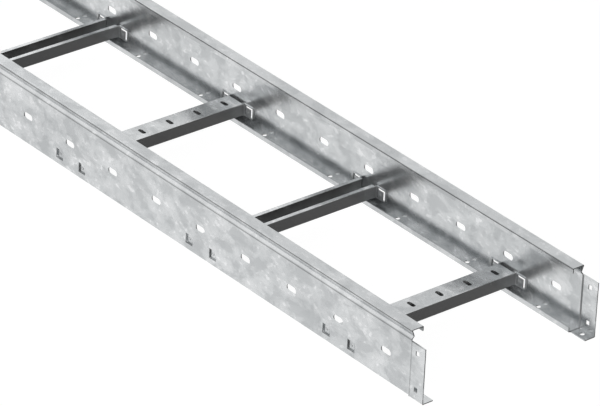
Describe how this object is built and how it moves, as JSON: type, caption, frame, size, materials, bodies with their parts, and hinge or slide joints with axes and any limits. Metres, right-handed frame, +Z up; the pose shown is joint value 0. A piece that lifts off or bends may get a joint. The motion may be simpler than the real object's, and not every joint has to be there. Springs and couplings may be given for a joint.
{
  "type": "cable ladder",
  "caption": "Straight cable ladder: two roll-formed steel side rails joined by C-section rungs, with lanced tab joints, slotted webs and a joggled connector end.",
  "frame": {"origin": "On the plane under the bottom flanges, below the middle of the overall length and width.", "axes": "X along the ladder towards the connector end, Y across it towards the left rail, Z up."},
  "size_m": [1.53, 0.306, 0.1],
  "materials": {
    "galvanised_steel": "hot-dip galvanised sheet with a faint spangle"
  },
  "bodies": {
    "root": {"side_rail_left": "galvanised_steel", "side_rail_right": "galvanised_steel", "rung_01": "galvanised_steel", "rung_02": "galvanised_steel", "rung_03": "galvanised_steel", "rung_04": "galvanised_steel", "rung_05": "galvanised_steel"}
  },
  "joints": []
}
